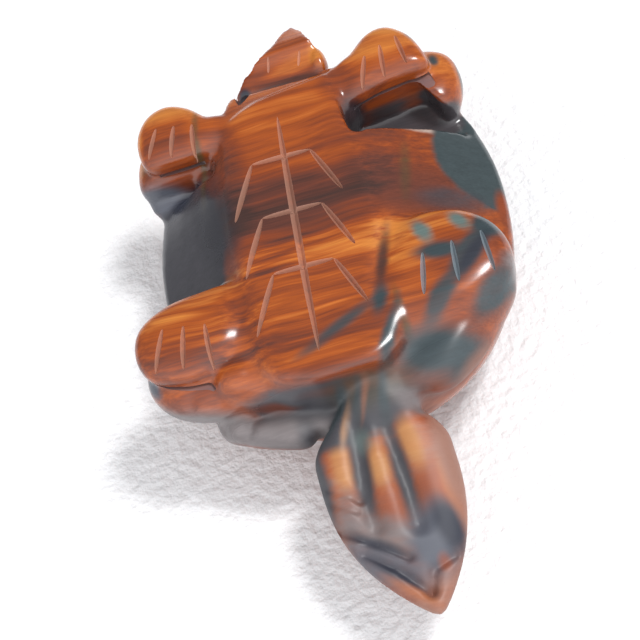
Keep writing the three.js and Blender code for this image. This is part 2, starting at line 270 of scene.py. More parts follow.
def buildHead():
    loft = addBall("head", 120, 160)
    points = readPoints(loft)
    share = np.arcsin(np.clip(points[:, 2], -1, 1)) / math.pi + 0.5
    length = head["neckY"] - head["tip"][1]
    y = head["tip"][1] + length * share ** 1.15
    section = headSection(y)
    angle = np.arctan2(points[:, 1], points[:, 0])
    reach = np.minimum(1, np.minimum(share * 25, (1 - share) * 25))
    up = squared(np.sin(angle), head["squareness"]) * reach
    x = section["shift"] + section["halfWidth"] * reach * squared(np.cos(angle), head["squareness"])
    z = section["level"] + np.where(up > 0, section["rise"], section["drop"]) * up
    for groove in head["throat"]:
        path = np.array(groove)
        middle = np.interp(y, path[::-1, 1], path[::-1, 0])
        fade = ease(y, path[-1, 1] - 0.6, path[-1, 1] + 1.4) * (1 - ease(y, path[0, 1] - 1.4, path[0, 1] + 0.6))
        hollow = np.exp(-((x - middle) / head["throatWidth"]) ** 2)
        z = z - np.where(up > 0, head["throatDepth"] * hollow * fade, 0)
    writePoints(loft, np.stack([x, y, z], axis=1))
    return loft


def eyeRings():
    section = headSection(np.array(head["eyeY"]))
    rings = []
    for side in (-1, 1):
        ring = addShape("eye", bpy.ops.mesh.primitive_torus_add, major_segments=48, minor_segments=12,
                        major_radius=head["eyeRadius"], minor_radius=head["eyeLine"])
        lean = Matrix.Rotation(side * math.radians(head["eyeTurn"]), 4, "Y") @ Matrix.Rotation(math.pi / 2, 4, "Y")
        place = Vector((section["shift"] + side * (section["halfWidth"] - head["eyeInset"]), head["eyeY"],
                        section["level"] - head["eyeDrop"]))
        ring.data.transform(Matrix.Translation(place) @ lean)
        rings.append(ring)
    return rings


# tail, sawn from above and from the side, which leaves its facets

tail = {
    "plan": ((-8.6, 13), (4.2, 13), (3.2, 18.2), (3.5, 20), (2.9, 21.7), (2.1, 23.6), (1.7, 25), (0.7, 26.7),
             (-0.4, 25.8), (-1.6, 23.7), (-3.4, 22), (-5.4, 20.4), (-6.4, 18.7), (-7.4, 16.9)),
    "left": -9, "leftProfile": ((12, 10), (20.5, 10.6), (26.8, 12.8), (26.8, 13.8), (21.4, 15.6), (20.6, 15), (19.2, 14.7),
                                (18.3, 14.7), (17.9, 15.4), (14.1, 17.1), (12, 17.2)),
    "right": 4.3, "rightProfile": ((12, 10), (21.5, 10.6), (26.8, 12.8), (26.8, 13.8), (23, 15.7), (21.7, 15),
                                   (19.4, 14.6), (17.7, 14.5), (17.1, 15.2), (16.5, 17.1), (12, 17.2)),
    "lump": {"corners": ((3.6, 20.6), (3.1, 22.1), (2.2, 21.8), (1.9, 19.6), (2.7, 18.9), (3.4, 19.2)),
             "low": 12.5, "high": 15.4, "side": 2.2},
    "pit": {"corners": ((-4.8, 17.4), (-5.2, 18.7), (-6.4, 18.2), (-6.1, 15.8)), "low": 13.4, "high": 17.6},
    "nicks": (((-2.6, 20.4), (-2.2, 22)), ((0.6, 20.3), (1.1, 21.9))), "nickWidth": 0.3, "nickDepth": 0.18,
}


def buildTail():
    fromAbove = extrudeOutline("tail", tail["plan"], 9, 20)
    fromSide = extrudeOutline("tailSide", tail["leftProfile"], tail["left"], tail["right"])
    points = readPoints(fromSide)
    atRight = points[:, 2] > (tail["left"] + tail["right"]) / 2
    for left, right in zip(tail["leftProfile"], tail["rightProfile"]):
        points[atRight & (np.abs(points[:, :2] - left).max(axis=1) < 0.001), :2] = right
    writePoints(fromSide, points[:, [2, 0, 1]])
    cutAway(fromAbove, fromSide, "INTERSECT")
    finishWith(fromAbove, "BEVEL", width=0.25, segments=3, limit_method="ANGLE", angle_limit=math.radians(18))
    return fromAbove


# feet and the fillings beside them: rounded pads, each with its outline from above and its levels

feet = {
    "hindLeft": (
        {"corners": ((-8.6, 14.3), (-10.7, 17), (-13.5, 18.5), (-16, 17.6), (-17.3, 14.8), (-16.6, 11.3),
                     (-13.2, 11), (-9.4, 11.4), (-6.6, 12)), "low": 13.8, "high": 17.45},
        {"corners": ((-6, 12.6), (-10, 15), (-13.5, 16.6), (-17.3, 15.4), (-18.3, 12.6), (-17.6, 10.5),
                     (-13.4, 10.4), (-9.4, 10.8), (-6, 10.6)), "low": 9.6, "high": 14.95},
        {"corners": ((-9, 12), (-12, 15), (-16.8, 14), (-18, 11), (-17.1, 8.9), (-15, 8.2), (-12, 8.7),
                     (-9.4, 9.4)), "low": 9.3, "high": 11.9, "side": 2.2},
        {"corners": ((-5.5, 10), (-6, 15), (-10.8, 16), (-12.8, 14), (-10.2, 12)), "low": 10, "high": 17.45},
        {"corners": ((-9.9, 10), (-10.2, 10.9), (-11.1, 11.2), (-12, 10.9), (-12.3, 10), (-12, 9.1), (-11.1, 8.8),
                     (-10.2, 9.1)), "low": 11, "high": 14.35, "side": 2},
        {"corners": ((-7, 7.4), (-7, 12.4), (-8.8, 12.8), (-10.1, 11.6), (-10.4, 9.4), (-9.7, 7.6)), "low": 8,
         "high": 16.7, "side": 2.2},
    ),
    "hindRight": (
        {"corners": ((13.7, 15.2), (13.3, 17.4), (12.3, 19.5), (10.3, 21.1), (8.1, 20.7), (5.9, 18.6), (3.9, 17),
                     (4.4, 12.9), (8.5, 13.8), (12.8, 14.5)), "low": 13.8, "high": 17.45},
        {"corners": ((16.6, 14.6), (15.7, 17.9), (12, 19), (7, 17.5), (4, 14.5), (5, 13.2), (8.8, 13.5), (12.4, 14),
                     (14.2, 11), (15.6, 11.6)), "low": 9.6, "high": 15.1},
        {"corners": ((6.5, 15.5), (4.6, 18.2), (1.5, 17.5), (2, 12), (4.6, 11.9)), "low": 10, "high": 17.1},
    ),
    "frontLeft": (
        {"corners": ((-7.4, -5), (-13.4, -5), (-17.5, -5.8), (-20.2, -7.8), (-20.7, -10.8), (-19.6, -13.1),
                     (-17, -14.2), (-14.6, -14.3), (-12, -13.3), (-9.6, -12), (-7.4, -10.6)), "low": 13.6,
         "high": 17.5},
        {"corners": ((-9.6, -8), (-15, -8.4), (-19.6, -9.6), (-20.5, -12.2), (-19.4, -14.6), (-17, -16.3),
                     (-13.2, -17), (-9.9, -15)), "low": 9.9, "high": 14.85},
        {"corners": ((-8, -12.6), (-12.8, -13), (-14, -15.2), (-12.4, -16.8), (-8, -17.2)), "low": 10, "high": 16.8,
         "side": 2.2},
        {"corners": ((-4.5, -8), (-7.6, -4), (-10.6, -5), (-11.6, -9), (-11.5, -13.6), (-9.2, -17.2), (-5, -17.6)),
         "low": 10, "high": 17.35},
        {"corners": ((-5, -17), (-8.5, -13.5), (-14.4, -15.2), (-14.6, -17.6), (-12.7, -18.8), (-9.7, -20),
                     (-6.2, -20.6)), "low": 7.6, "high": 11.4},
    ),
    "frontRight": (
        {"corners": ((16.7, -8.6), (15.4, -5), (12.1, -2.7), (8.2, -2.5), (5.1, -4.2), (2.5, -8), (2, -13), (5, -16),
                     (9.8, -15.4), (15.3, -12.4)), "low": 10, "high": 17.45, "side": 3.6},
        {"corners": ((16.3, -11), (14.2, -8.5), (4.5, -12), (2.5, -17.5), (6.4, -20.2), (10.2, -18.6),
                     (14, -14.8)), "low": 9.4, "high": 15.9, "side": 2.3},
        {"corners": ((6.6, -12), (4.6, -9), (1.5, -12), (2, -16), (4, -17), (6, -15.6)), "low": 10, "high": 17.35},
        {"corners": ((5.5, -17.6), (2.5, -14.5), (-1, -16.6), (-2, -19.6), (0.4, -21.6), (4, -21)), "low": 9,
         "high": 14.4, "side": 2.2},
    ),
}


def buildPad(name, corners, low, high, side=2.8):
    pad = addBall(name, 96, 60)
    points = readPoints(pad)
    middle = np.mean(corners, axis=0)
    outline = roundOutline(corners, np.arctan2(points[:, 1], points[:, 0]) / (2 * math.pi))
    reach = squared(np.minimum(1, np.hypot(points[:, 0], points[:, 1])), side)[:, None]
    height = (high + low) / 2 + (high - low) / 2 * squared(points[:, 2], side)
    writePoints(pad, np.column_stack([middle + (outline - middle) * reach, height]))
    return pad


# hollows worn along a line before the stone is tumbled
valleys = (
    {"path": ((5.5, -4.6), (4.9, -6.4), (4.1, -8.8), (3.6, -11.6)), "width": 0.8, "depth": 0.3},
    {"path": ((5.8, -15.6), (5, -17.6)), "width": 2, "depth": 0.4},
    {"path": ((-9, 7.6), (-8.5, 11), (-7.9, 14.2)), "width": 1.3, "depth": 0.35},
    {"path": ((-9.8, -4.6), (-9.5, -9.3), (-9.6, -14), (-9.8, -17)), "width": 1.2, "depth": 0.45},
    {"path": ((-10.8, -17), (-11.6, -18), (-12.3, -19)), "width": 0.5, "depth": 0.7},
    {"path": ((-16.8, -17), (-16.4, -15.6)), "width": 0.4, "depth": 0.5},
    {"path": ((-14.3, -17.8), (-14.2, -16.4)), "width": 0.4, "depth": 0.6},
    {"path": ((-6.2, 18.3), (-2, 18), (3.2, 17.3)), "width": 0.35, "depth": 0.7},
    {"path": ((-5.6, -30.3), (-2.2, -32.7), (0.3, -34.5)), "width": 0.5, "depth": 0.8},
    {"path": ((-3.6, -33), (-0.9, -35.2), (1.5, -37.9)), "width": 0.5, "depth": 0.8},
    {"path": ((1.6, -38), (2.2, -36.1), (4.4, -35.1)), "width": 0.45, "depth": 0.7},
    {"path": ((-6.2, -26), (-3, -28.4)), "width": 0.4, "depth": 0.6},
    {"path": ((-6.2, -27.4), (-3.4, -29.4)), "width": 0.4, "depth": 0.4},
    {"path": ((3, -19.4), (4.6, -20.9), (6.4, -21.9)), "width": 0.5, "depth": 0.3},
)


def inwardNormals(stone):
    normals = np.empty(len(stone.data.vertices) * 3)
    stone.data.vertices.foreach_get("normal", normals)
    return -normals.reshape(-1, 3)


def awayFrom(points, path):
    # distance from above to a line of straight steps
    path = np.array(path, dtype=float)
    nearest = np.full(len(points), np.inf)
    for start, end in zip(path, path[1:]):
        step = end - start
        share = np.clip((points[:, :2] - start) @ step / (step @ step), 0, 1)
        gap = points[:, :2] - start - share[:, None] * step
        nearest = np.minimum(nearest, np.hypot(*gap.T))
    return nearest


def wearValleys(stone):
    points = readPoints(stone)
    facing = ease(-inwardNormals(stone)[:, 2], 0, 0.4)
    for valley in valleys:
        hollow = np.exp(-(awayFrom(points, valley["path"]) / valley["width"]) ** 2)
        points[:, 2] -= valley["depth"] * hollow * facing
    writePoints(stone, points)


# Tumbling rounds the stone. Some edges stay crisp and some hollows are rounded more.
polish = {
    "voxel": 0.24, "rounds": 12, "crispRounds": 4, "hollowRounds": 38, "domeTop": 7.5, "kept": 0.73,
    "crisp": (
        {"centre": (-2.5, 15, 17), "half": (6.5, 3, 0.8), "edge": 0.8},
        {"centre": (-2, 22, 15), "half": (6, 6.5, 4), "edge": 0.8},
        {"centre": (10.5, 8.4, 14), "half": (4.5, 0.6, 3), "edge": 0.6},
        {"centre": (0, -33.5, 11), "half": (6, 5, 4), "edge": 1},
    ),
    "hollows": (
        {"centre": (-9.2, 12.8, 16.8), "half": (0.9, 2.4, 1.5), "edge": 1.2},
        {"centre": (-9.4, 2, 16.8), "half": (0.8, 11, 1.6), "edge": 1.2},
        {"centre": (-13.2, 9.5, 11.6), "half": (4.5, 1.2, 1.2), "edge": 1},
        {"centre": (-9.6, -9.6, 16.8), "half": (0.9, 4, 1.2), "edge": 1.2},
        {"centre": (5.4, 1, 17), "half": (1.6, 8, 1), "edge": 1.2},
        {"centre": (16, 0, 11.2), "half": (1.2, 9, 0.8), "edge": 0.8},
        {"centre": (-16, -1, 11.2), "half": (1.2, 9, 0.8), "edge": 0.8},
        {"centre": (9.5, 11.3, 11.8), "half": (5, 1.4, 1.2), "edge": 0.8},
        {"centre": (8, -15, 13.6), "half": (7, 3, 2.6), "edge": 1.5},
        {"centre": (4.2, -12.5, 16), "half": (1, 4, 1.8), "edge": 1.2},
        {"centre": (-11.4, -15.4, 15.6), "half": (3, 2.6, 2), "edge": 1.2},
        {"centre": (-8.4, 12.4, 16.4), "half": (2, 4, 1.6), "edge": 1.2},
        {"centre": (4.6, -15.6, 15.6), "half": (2.6, 2.4, 2.4), "edge": 1.2},
        {"centre": (-2.5, -18.2, 13.5), "half": (7, 1.2, 3), "edge": 1},
        {"centre": (1.5, -20.4, 13), "half": (5, 2.6, 3), "edge": 1.5},
    ),
}


def weigh(stone, name, share):
    group = stone.vertex_groups.new(name=name)
    for step in range(1, 11):
        chosen = np.nonzero(np.round(share * 10) == step)[0]
        group.add(chosen.tolist(), step / 10, "REPLACE")
    return name


def buildBody():
    pads = [buildPad(foot, **pad) for foot, parts in feet.items() for pad in parts]
    stone = joinShapes("turtle", [
        buildShell(),
        extrudeOutline("belly", belly["outline"], belly["height"] - belly["thickness"], belly["height"], belly["edge"]),
        buildSlope("rightSlope", belly["rightSlope"], belly["rightEnds"], 1),
        buildSlope("leftSlope", belly["leftSlope"], belly["leftEnds"], -1),
        buildHead(),
        buildTail(),
        buildPad("tailLump", **tail["lump"]),
        *pads,
    ])
    finishWith(stone, "REMESH", mode="VOXEL", voxel_size=polish["voxel"])
    wearValleys(stone)
    points = readPoints(stone)
    crisp = np.max([within(points, **zone) for zone in polish["crisp"]], axis=0)
    hollow = np.max([within(points, **zone) for zone in polish["hollows"]], axis=0)
    soft = weigh(stone, "soft", 1 - crisp)
    softer = weigh(stone, "softer", hollow * (1 - crisp))
    finishWith(stone, "SMOOTH", factor=0.5, iterations=polish["hollowRounds"], vertex_group=softer)
    finishWith(stone, "SMOOTH", factor=0.5, iterations=polish["rounds"], vertex_group=soft)
    finishWith(stone, "SMOOTH", factor=0.5, iterations=polish["crispRounds"])
    writePoints(stone, cutScuteLines(readPoints(stone), inwardNormals(stone)))
    # the dome needs fewer faces than the carved side
    above = readPoints(stone)[:, 2] > polish["domeTop"]
    dome = weigh(stone, "dome", 1.0 - above)
    finishWith(stone, "DECIMATE", ratio=polish["kept"], vertex_group=dome, vertex_group_factor=1000)
    print("body", len(stone.data.polygons))
    return stone


# cuts left by a thin wheel, and the level saw cuts under three of the soles

cuts = {
    "lineWidth": 0.6, "lineDepth": 0.62,
    "toeWidth": 0.53, "toeDepth": 0.55,
    "seam": ((-2.4, 12.4), (-2.7, 3), (-3, -8), (-3.1, -15.8)), "seamWidth": 0.76, "seamDepth": 0.75,
    "rungX": (-5.9, 0.1), "rungs": (7.3, 0.6, -6.1), "rungSlant": ((-2.7, -6.3), (2.3, -5.7)),
    "toes": (
        {"middle": (-13.4, 13.1), "spacing": (2.1, -0.4), "length": 3.5, "lean": 14, "splay": 8},
        {"middle": (9.2, 16.1), "spacing": (2.1, 0.8), "length": 3.8, "lean": 4, "splay": 11},
        {"middle": (-15.7, -11.4), "spacing": (2.4, -0.4), "length": 4.5, "lean": 9, "splay": 9},
        {"middle": (11.2, -9.8), "spacing": (3.2, 0.5), "length": 4.6, "lean": 3, "splay": 7, "blue": True},
    ),
    "saws": (
        {"middle": (-13.5, 11.2), "halfWidth": 2.3, "turn": 8, "level": 14.87, "width": 0.5},
        {"middle": (9.3, 14.1), "halfWidth": 3.8, "turn": 12, "level": 15.08, "width": 0.4},
        {"middle": (-15.7, -13.4), "halfWidth": 3.4, "turn": 0, "level": 14.88, "width": 0.32},
    ),
}


def wheelCut(surface, path, width, depth, lift=1.2):
    # a blade with pointed ends that follows the surface under its path
    blade = addBall("blade", 16, 48)
    points = readPoints(blade)
    share = np.arcsin(np.clip(points[:, 2], -1, 1)) / math.pi + 0.5
    around = np.arctan2(points[:, 1], points[:, 0])
    rings, ring = np.unique(np.round(share, 5), return_inverse=True)
    middle = along(rings, path)
    ahead = np.gradient(middle, axis=0)
    ahead /= np.hypot(*ahead.T)[:, None]
    level = np.array([surface.ray_cast(Vector((x, y, 40)), Vector((0, 0, -1)))[0].z for x, y in middle])
    swell = np.maximum(1 - (2 * rings - 1) ** 2, 0) ** 0.45
    side = np.cos(around) * width / 2
    below = (1 - np.abs(np.cos(around)) ** 1.25) * depth
    x = middle[ring, 0] - ahead[ring, 1] * side * swell[ring]
    y = middle[ring, 1] + ahead[ring, 0] * side * swell[ring]
    drop = np.where(np.sin(around) < 0, -below * swell[ring], lift * np.sin(around) * swell[ring])
    writePoints(blade, np.stack([x, y, level[ring] + drop], axis=1))
    return blade


def sawBlade(middle, halfWidth, turn, level, width):
    radius, reach, run = 1.5 * halfWidth, 0.4 * halfWidth, 2
    blade = addShape("saw", bpy.ops.mesh.primitive_cylinder_add, vertices=96, radius=radius, depth=width)
    points = readPoints(blade)
    x = np.clip(points[:, 0], -halfWidth - 0.5, halfWidth + 0.5)
    y = np.maximum(points[:, 1] + reach - radius, -run)
    turned = math.radians(turn)
    writePoints(blade, np.stack([
        middle[0] + x * math.cos(turned) - y * math.sin(turned),
        middle[1] + x * math.sin(turned) + y * math.cos(turned),
        level + points[:, 2],
    ], axis=1))
    return blade


def cutStone(stone, blades, finish):
    cutter = joinShapes("cutter", blades)
    cutter.data.materials.clear()
    cutter.data.materials.append(finish)
    cutAway(stone, cutter)


def cutLines(stone, ground, groundBlue, sawn):
    surface = BVHTree.FromObject(stone, bpy.context.evaluated_depsgraph_get())
    line = (cuts["lineWidth"], cuts["lineDepth"])
    lengthwise = [wheelCut(surface, cuts["seam"], cuts["seamWidth"], cuts["seamDepth"])]
    lengthwise += [wheelCut(surface, nick, tail["nickWidth"], tail["nickDepth"]) for nick in tail["nicks"]]
    blue = []
    for toes in cuts["toes"]:
        group = blue if toes.get("blue") else lengthwise
        for toe in (-1, 0, 1):
            angle = math.radians(toes["lean"] - toe * toes["splay"])
            x = toes["middle"][0] + toe * toes["spacing"][0]
            y = toes["middle"][1] + toe * toes["spacing"][1]
            reach = Vector((math.sin(angle), math.cos(angle))) * toes["length"] / 2
            group.append(wheelCut(surface, ((x + reach.x, y + reach.y), (x - reach.x, y - reach.y)),
                                  cuts["toeWidth"], cuts["toeDepth"]))
    left, right = cuts["rungX"]
    rungs = [wheelCut(surface, ((left, y), (right, y)), *line) for y in cuts["rungs"]]
    slants = []
    for y in cuts["rungs"]:
        for x, (runX, runY) in zip((left, right), cuts["rungSlant"]):
            slants.append(wheelCut(surface, ((x, y), (x + runX, y + runY)), *line))
    for blades in (lengthwise, rungs, slants, eyeRings()):
        cutStone(stone, blades, ground)
    cutStone(stone, blue, groundBlue)
    cutStone(stone, [sawBlade(**saw) for saw in cuts["saws"]] + [buildPad("pit", **tail["pit"])], sawn)
    print("cuts", len(stone.data.polygons))


# stone: fine fibres across the carving, with the colours of each region laid over them

def newMaterial(name):
    material = bpy.data.materials.new(name)
    material.use_nodes = True
    return material


def newGroup(name, inputs, outputs):
    group = bpy.data.node_groups.new(name, "ShaderNodeTree")
    for direction, sockets in (("INPUT", inputs), ("OUTPUT", outputs)):
        for socket, kind in sockets.items():
            group.interface.new_socket(socket, in_out=direction, socket_type="NodeSocket" + kind)
    return group, group.nodes.new("NodeGroupInput").outputs, group.nodes.new("NodeGroupOutput").inputs


def addNode(tree, kind, inputs=None, **values):
    # inputs are numbers, colours or the sockets of other nodes
    node = tree.nodes.new("ShaderNode" + kind)
    for key, value in values.items():
        setattr(node, key, value)
    for key, value in (inputs or {}).items():
        if isinstance(value, bpy.types.NodeSocket):
            tree.links.new(value, node.inputs[key])
        else:
            node.inputs[key].default_value = value
    return node


def math2(tree, operation, first, second):
    return addNode(tree, "Math", {0: first, 1: second}, operation=operation).outputs[0]


def mixTones(tree, share, below, above, blend="MIX"):
    mix = addNode(tree, "Mix", {"Factor": share, 6: below, 7: above}, data_type="RGBA", blend_type=blend)
    return mix.outputs[2]


grain = {
    "tilt": 5, "layerLean": 30, "waver": 0.7, "waverScale": 0.12,
    "band": (0.03, 0.42, 0.34), "streak": (0.06, 1.5, 1.2), "hair": (0.16, 6, 4.5),
    "contrast": 0.5, "hairContrast": 0.11, "lightness": 0.42, "fray": 1.4,
}


def buildFibreGroup():
    # three sizes of fibre through the stone, in millimetres from the middle of the rim
    tree, _, out = newGroup("stoneFibres", {}, {"band": "Float", "streak": "Float", "hair": "Float"})
    coordinates = addNode(tree, "TexCoord")
    place = addNode(tree, "Mapping", {
        "Vector": coordinates.outputs["Object"],
        "Location": tuple(-rimMiddle / metre), "Scale": (1 / metre,) * 3,
    })
    waver = addNode(tree, "TexNoise", {"Vector": place.outputs[0], "Scale": grain["waverScale"], "Detail": 1})
    shift = addNode(tree, "VectorMath", {0: waver.outputs["Color"], 1: (0.5, 0.5, 0.5)}, operation="SUBTRACT")
    shift = addNode(tree, "VectorMath", {0: shift.outputs[0], "Scale": grain["waver"] * 2}, operation="SCALE")
    wavered = addNode(tree, "VectorMath", {0: place.outputs[0], 1: shift.outputs[0]}, operation="ADD")
    for size, detail in (("band", 2), ("streak", 3), ("hair", 2)):
        fibre = addNode(tree, "Mapping", {
            "Vector": wavered.outputs[0], "Scale": grain[size],
            "Rotation": (math.radians(grain["layerLean"]), 0, math.radians(-grain["tilt"])),
        })
        noise = addNode(tree, "TexNoise", {"Vector": fibre.outputs[0], "Scale": 1, "Detail": detail, "Roughness": 0.55})
        tree.links.new(math2(tree, "SUBTRACT", noise.outputs["Fac"], 0.5), out[size])
    return tree


tones = {
    "brightGold": (0.47, 0.155, 0.026, 1), "gold": (0.4, 0.11, 0.018, 1), "orange": (0.3, 0.062, 0.008, 1),
    "rust": (0.19, 0.038, 0.01, 1), "maroon": (0.1, 0.028, 0.017, 1), "darkMaroon": (0.045, 0.02, 0.016, 1),
    "slate": (0.042, 0.041, 0.048, 1), "darkSlate": (0.02, 0.02, 0.026, 1), "navy": (0.014, 0.017, 0.03, 1),
    "blueGrey": (0.075, 0.08, 0.1, 1), "paleGrey": (0.14, 0.12, 0.12, 1), "teal": (0.1, 0.14, 0.13, 1),
    "deepTeal": (0.03, 0.044, 0.05, 1), "darkTeal": (0.048, 0.042, 0.046, 1), "green": (0.036, 0.05, 0.054, 1),
    "olive": (0.06, 0.045, 0.02, 1), "honey": (0.42, 0.19, 0.06, 1),
    "pink": (0.24, 0.09, 0.05, 1), "rose": (0.25, 0.12, 0.085, 1), "cream": (0.36, 0.28, 0.24, 1),
}

# warmth of the fibres: above 0 golden, below 0 dark red, with how much they vary
warmth = (
    {"centre": (2.6, -4.3, 17), "half": (7, 1.7, 6), "turn": 3, "shift": 0.3, "vary": 1.2},
    {"centre": (0.5, -29, 10), "half": (9, 11, 6), "turn": 0, "shift": 0.04, "vary": -0.4},
    {"centre": (-10.4, 13.6, 17), "half": (1.6, 2.6, 3), "turn": 0, "shift": 0.14},
    {"centre": (-5.5, -4.6, 17), "half": (5, 2.2, 6), "turn": 4, "shift": 0.05, "vary": 1.2},
    {"centre": (-3.6, 1.6, 17), "half": (9, 3.6, 6), "turn": -2, "shift": -0.28},
    {"centre": (-9, 6, 17), "half": (2.2, 8, 6), "turn": 0, "shift": -0.16},
    {"centre": (-1.5, 12.5, 17), "half": (7, 3.4, 6), "turn": 8, "shift": 0.12},
    {"centre": (-7, 14.3, 16), "half": (3, 1.6, 4), "turn": 18, "shift": 0.12},
    {"centre": (8.5, 2.5, 15), "half": (5.5, 5, 6), "turn": 0, "shift": -0.1},
    {"centre": (5.5, 3.4, 16), "half": (2.6, 2.6, 4), "turn": 0, "shift": -0.1},
    {"centre": (11, 5.6, 14), "half": (3.4, 2.4, 4), "turn": 0, "shift": 0.04},
    {"centre": (-14.6, -6.6, 16), "half": (5.6, 1.7, 6), "turn": 8, "shift": 0.3, "vary": 1.2},
    {"centre": (-13.5, -10.8, 17), "half": (6.5, 1.8, 4), "turn": 10, "shift": -0.08, "vary": 0.8},
    {"centre": (-13.4, -13.8, 16.4), "half": (6, 1.1, 3), "turn": 7, "shift": -0.08, "vary": 0.6},
    {"centre": (-13, -15.6, 14), "half": (5, 1.4, 1.6), "turn": 5, "shift": -0.04},
    {"centre": (-2, -12, 17), "half": (8, 5, 5), "turn": 8, "shift": -0.03, "vary": 0.4},
    {"centre": (-13.4, 17.9, 16.4), "half": (5.6, 2.2, 4), "turn": -4, "shift": 0.5},
    {"centre": (10.6, 20.6, 16), "half": (3.2, 1.2, 4), "turn": -6, "shift": 0.45},
    {"centre": (-17.6, 15, 16), "half": (1, 3, 4), "turn": 0, "shift": 0.55},
    {"centre": (-12, 12.2, 16), "half": (5, 2, 3), "turn": 8, "shift": -0.04},
    {"centre": (0.5, 25, 14.5), "half": (1.8, 1.4, 3), "turn": 0, "shift": 0.14},
    {"centre": (0.6, 20.6, 15), "half": (3.4, 1, 3), "turn": 12, "shift": 0.3},
    {"centre": (2.9, 20.8, 15), "half": (0.9, 1.8, 3), "turn": 0, "shift": 0.3},
    {"centre": (-0.8, 18.7, 15), "half": (3.6, 0.8, 3), "turn": -4, "shift": -0.24},
    {"centre": (-2, 17, 16), "half": (5, 1.2, 2), "turn": -3, "shift": 0.14},
    {"centre": (9.4, 19.4, 17), "half": (5, 2.8, 4), "turn": 10, "shift": 0.28},
    {"centre": (13.8, 17, 17), "half": (1.2, 3, 4), "turn": 0, "shift": 0.2},
    {"centre": (4.4, 14.6, 17), "half": (2, 2.2, 4), "turn": 0, "shift": -0.16},
    {"centre": (15.6, 15.4, 13), "half": (2, 3.4, 2.4), "turn": 0, "shift": 0.2},
    {"centre": (6.6, -6, 17), "half": (2.6, 3.6, 4), "turn": 20, "shift": 0.24, "vary": 0.8},
    {"centre": (11, -4.2, 17), "half": (4, 1.6, 4), "turn": -10, "shift": 0.26, "vary": 0.8},
    {"centre": (7, -11.6, 16), "half": (3, 3, 4), "turn": 20, "shift": 0.08},
    {"centre": (-4.1, -25, 12.5), "half": (1.3, 4, 4), "turn": -3, "shift": 0.16},
    {"centre": (-0.1, -25.4, 12.5), "half": (1.3, 4.4, 4), "turn": 2, "shift": 0.2},
    {"centre": (3.2, -24.6, 12.5), "half": (1.5, 3.6, 4), "turn": 8, "shift": 0.22},
    {"centre": (6.2, -30, 10), "half": (1.2, 4, 4), "turn": 8, "shift": 0.22},
    {"centre": (1.8, -38.6, 9), "half": (1.6, 1.6, 3), "turn": 0, "shift": 0.12},
)

